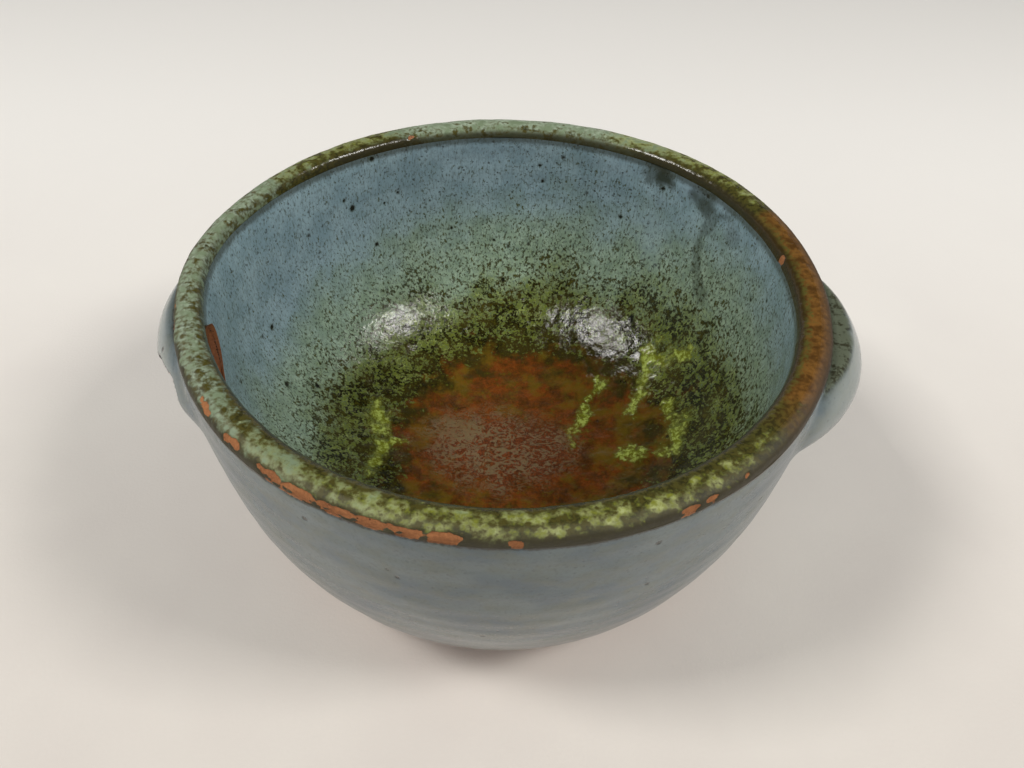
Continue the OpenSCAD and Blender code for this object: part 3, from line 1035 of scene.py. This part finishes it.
def coat_material():
    """Satin grey-blue glaze on the outside, with faint throwing rings and few specks."""
    g = Graph("outer_glaze")
    c = g.mask("lip_c")
    wide = g.noise(18, 3, 0.5, stretch=(1, 1, 0.6))
    cloud = g.noise(7, 4, 0.6, stretch=(1, 1, 0.6), shift=4)
    fine = g.noise(0.8, 3, 0.6, shift=7)
    blotch = g.noise(2.6, 3, 0.6, shift=17)
    blue = g.mix(g.smooth(wide, 0.35, 0.65), COAT_BLUE_A, COAT_BLUE_B)
    colour = g.mix(g.times(g.smooth(cloud, 0.4, 0.7), 0.7), blue, COAT_GREEN)
    # Painted shade: the lower outer wall is darkened towards olive grey
    low = g.smooth(g.add(g.mask("drop"), g.swing(cloud, 20)), 50, 70)
    colour = g.mix(g.times(low, 0.7), colour, linear(76, 76, 62))
    colour = g.mix(g.times(g.smooth(fine, 0.48, 0.7), 0.3), colour, linear(72, 78, 74))

    # The lugs' faces get a painted pale reflection of the bright room. Their flat tops are darker and
    # greener, with iron spots
    colour = g.mix(g.times(g.mask("lug_face_painted_light"), 0.6), colour, linear(142, 148, 142))
    spotted = g.smooth(g.add(g.times(blotch, 0.6), g.times(fine, 0.4)), 0.47, 0.58)
    top = g.mix(g.times(spotted, 0.85), linear(86, 92, 76), linear(44, 42, 28))
    colour = g.mix(g.mask("ledge"), colour, top)
    reach = g.add(c, g.swing(fine, 0.25), g.swing(blotch, 0.3))
    edge = g.fall(reach, 1.02, 1.2)
    off_ledge = g.minus(1.0, g.times(g.mask("ledge"), 0.8))
    colour = g.mix(g.times(edge, 0.85, off_ledge), colour, linear(48, 42, 30))
    colour, bare = chipped(g, colour, fine)
    colour = darker_ring_at_hole(g, colour, linear(50, 36, 22))
    colour, pits = pits_and_specks(g, colour, 0.3)
    rough = g.add(0.17, g.times(wide, 0.1), g.times(bare, 0.4))
    rings = g.noise(1.6, 2, 0.5, stretch=(14, 14, 0.7), shift=9)
    height = g.add(g.times(rings, 0.18), g.times(cloud, 0.6), g.times(fine, 0.12), g.times(pits, -0.8))
    return g.finish(colour, rough, g.bump(height, 0.14), ior=1.5)


# ---- stage, lights, camera
def floor_material():
    """Plain pale cloth-coloured backdrop with a little unevenness, and painted light that brightens it
    towards the back.
    """
    g = Graph("stage_floor")
    tone = g.noise(60, 3, 0.5)
    near = g.ramp(tone, [(0.3, linear(204, 197, 190)), (0.7, linear(212, 206, 198))])
    # Painted light: the backdrop grows brighter towards the back
    colour = g.mix(g.smooth(g.axis("Y"), -100, 260), near, linear(234, 231, 226))
    return g.finish(colour, 0.9, g.bump(g.noise(0.9, 2, 0.5), 0.05))


def make_floor():
    """A pale round sheet that curves up far from the bowl on every side."""
    flat, bend, rise, columns = 1400, 500, 700, 96
    turn = np.radians(np.linspace(5, 90, 16))
    r = np.concatenate([np.linspace(0, flat, 24), flat + bend * np.sin(turn), [flat + bend]])
    z = np.concatenate([np.zeros(24), bend * (1 - np.cos(turn)), [rise]])
    points = revolve(r, z, columns)
    floor = make_mesh("floor", points.reshape(-1, 3), quads_of(len(r), columns))
    floor.data.materials.append(floor_material())


def area_light(name, azimuth, elevation, distance, size, power, colour, seen=True):
    """A square softbox aimed at the bowl, at a compass angle round it and a height."""
    a, e = math.radians(azimuth), math.radians(elevation)
    data = bpy.data.lights.new(name, "AREA")
    data.shape, data.size, data.energy, data.color = "SQUARE", size, power, colour
    lamp = bpy.data.objects.new(name, data)
    away = Matrix.Rotation(a, 4, "Z") @ Matrix.Rotation(math.pi / 2 - e, 4, "Y")
    target = Matrix.Translation((0, 0, TOP * MM / 2))
    lamp.matrix_world = target @ away @ Matrix.Translation((0, 0, distance))
    lamp.visible_glossy = seen
    bpy.context.scene.collection.objects.link(lamp)


def make_lights():
    area_light("right_softbox", -15, 48, 1.1, 0.26, 6.6, (1.0, 0.98, 0.95))
    area_light("left_softbox", -166, 54, 1.1, 0.26, 6.6, (1.0, 0.98, 0.95))
    area_light("front_softbox", -95, 45, 1.6, 1.3, 6.6, (1.0, 0.99, 0.97), seen=False)
    area_light("right_fill", 0, 6, 1.3, 0.2, 1.6, (1.0, 0.98, 0.96), seen=False)
    area_light("left_fill", 180, 6, 1.3, 0.2, 1.9, (1.0, 0.98, 0.96), seen=False)
    world = bpy.data.worlds.new("room")
    world.use_nodes = True
    background = world.node_tree.nodes["Background"].inputs
    background["Color"].default_value = (0.9, 0.95, 1.0, 1.0)
    background["Strength"].default_value = 0.18
    world.cycles_visibility.glossy = False
    bpy.context.scene.world = world


# The camera, fitted to the rim's outline: its place is in rim radii from the rim's middle
LENS, SENSOR = 27.04, 36.0
CAMERA_PITCH, CAMERA_ROLL = 45.68, 2.27
CAMERA_PLACE = (0.031, -1.949, 1.467)


def make_camera():
    """A phone's wide lens close above the near side, looking down into the bowl."""
    data = bpy.data.cameras.new("camera")
    data.sensor_width, data.lens = SENSOR, LENS
    data.clip_start = 0.01
    pitch, roll = math.radians(CAMERA_PITCH), math.radians(CAMERA_ROLL)
    ahead = np.array([0, math.cos(pitch), -math.sin(pitch)])
    up = np.array([0, math.sin(pitch), math.cos(pitch)])
    right = np.array([1.0, 0, 0])
    right, up = math.cos(roll) * right + math.sin(roll) * up, math.cos(roll) * up - math.sin(roll) * right
    place = np.array(CAMERA_PLACE) * RIM_R * MM + (0, 0, TOP * MM)
    camera = bpy.data.objects.new("camera", data)
    rows = [[right[k], up[k], -ahead[k], place[k]] for k in range(3)]
    camera.matrix_world = Matrix(rows + [[0, 0, 0, 1]])
    bpy.context.scene.collection.objects.link(camera)
    bpy.context.scene.camera = camera


# ---- putting it together
make_camera()
make_lights()
make_floor()

clay, liner, lip, coat = clay_material(), liner_material(), lip_material(), coat_material()
pieces = coat_pieces()
pieces["clay_body"] = clay_wall()
pieces["turned_foot"] = turned_foot()
pieces["right_lug_clay"] = lug_clay("right_lug")
pieces["left_lug_clay"] = lug_clay("left_lug")

# Piece, its material, a slot name and the CAD nodes that it stands for
STANDS_FOR = [
    ("lip_coat", lip, "rim_glaze", ["rim_glaze"]),
    ("liner_coat", liner, "liner_glaze", ["liner_glaze"]),
    ("outer_coat", coat, "coat_glaze", ["outer_glaze"]),
    ("right_lug_coat", coat, "coat_glaze", ["right_lug_glaze"]),
    ("left_lug_coat", coat, "coat_glaze", ["left_lug_glaze"]),
    ("clay_body", clay, "clay", ["thrown_wall", "thrown_base"]),
    ("turned_foot", clay, "clay", ["foot_ring"]),
    ("right_lug_clay", clay, "clay", ["right_lug"]),
    ("left_lug_clay", clay, "clay", ["left_lug"]),
]
for name, material, slot, nodes in STANDS_FOR:
    piece = pieces[name]
    piece.data.materials.append(material)
    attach(piece, "root")
    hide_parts(*nodes)

bpy.context.scene.view_settings.view_transform = "Standard"
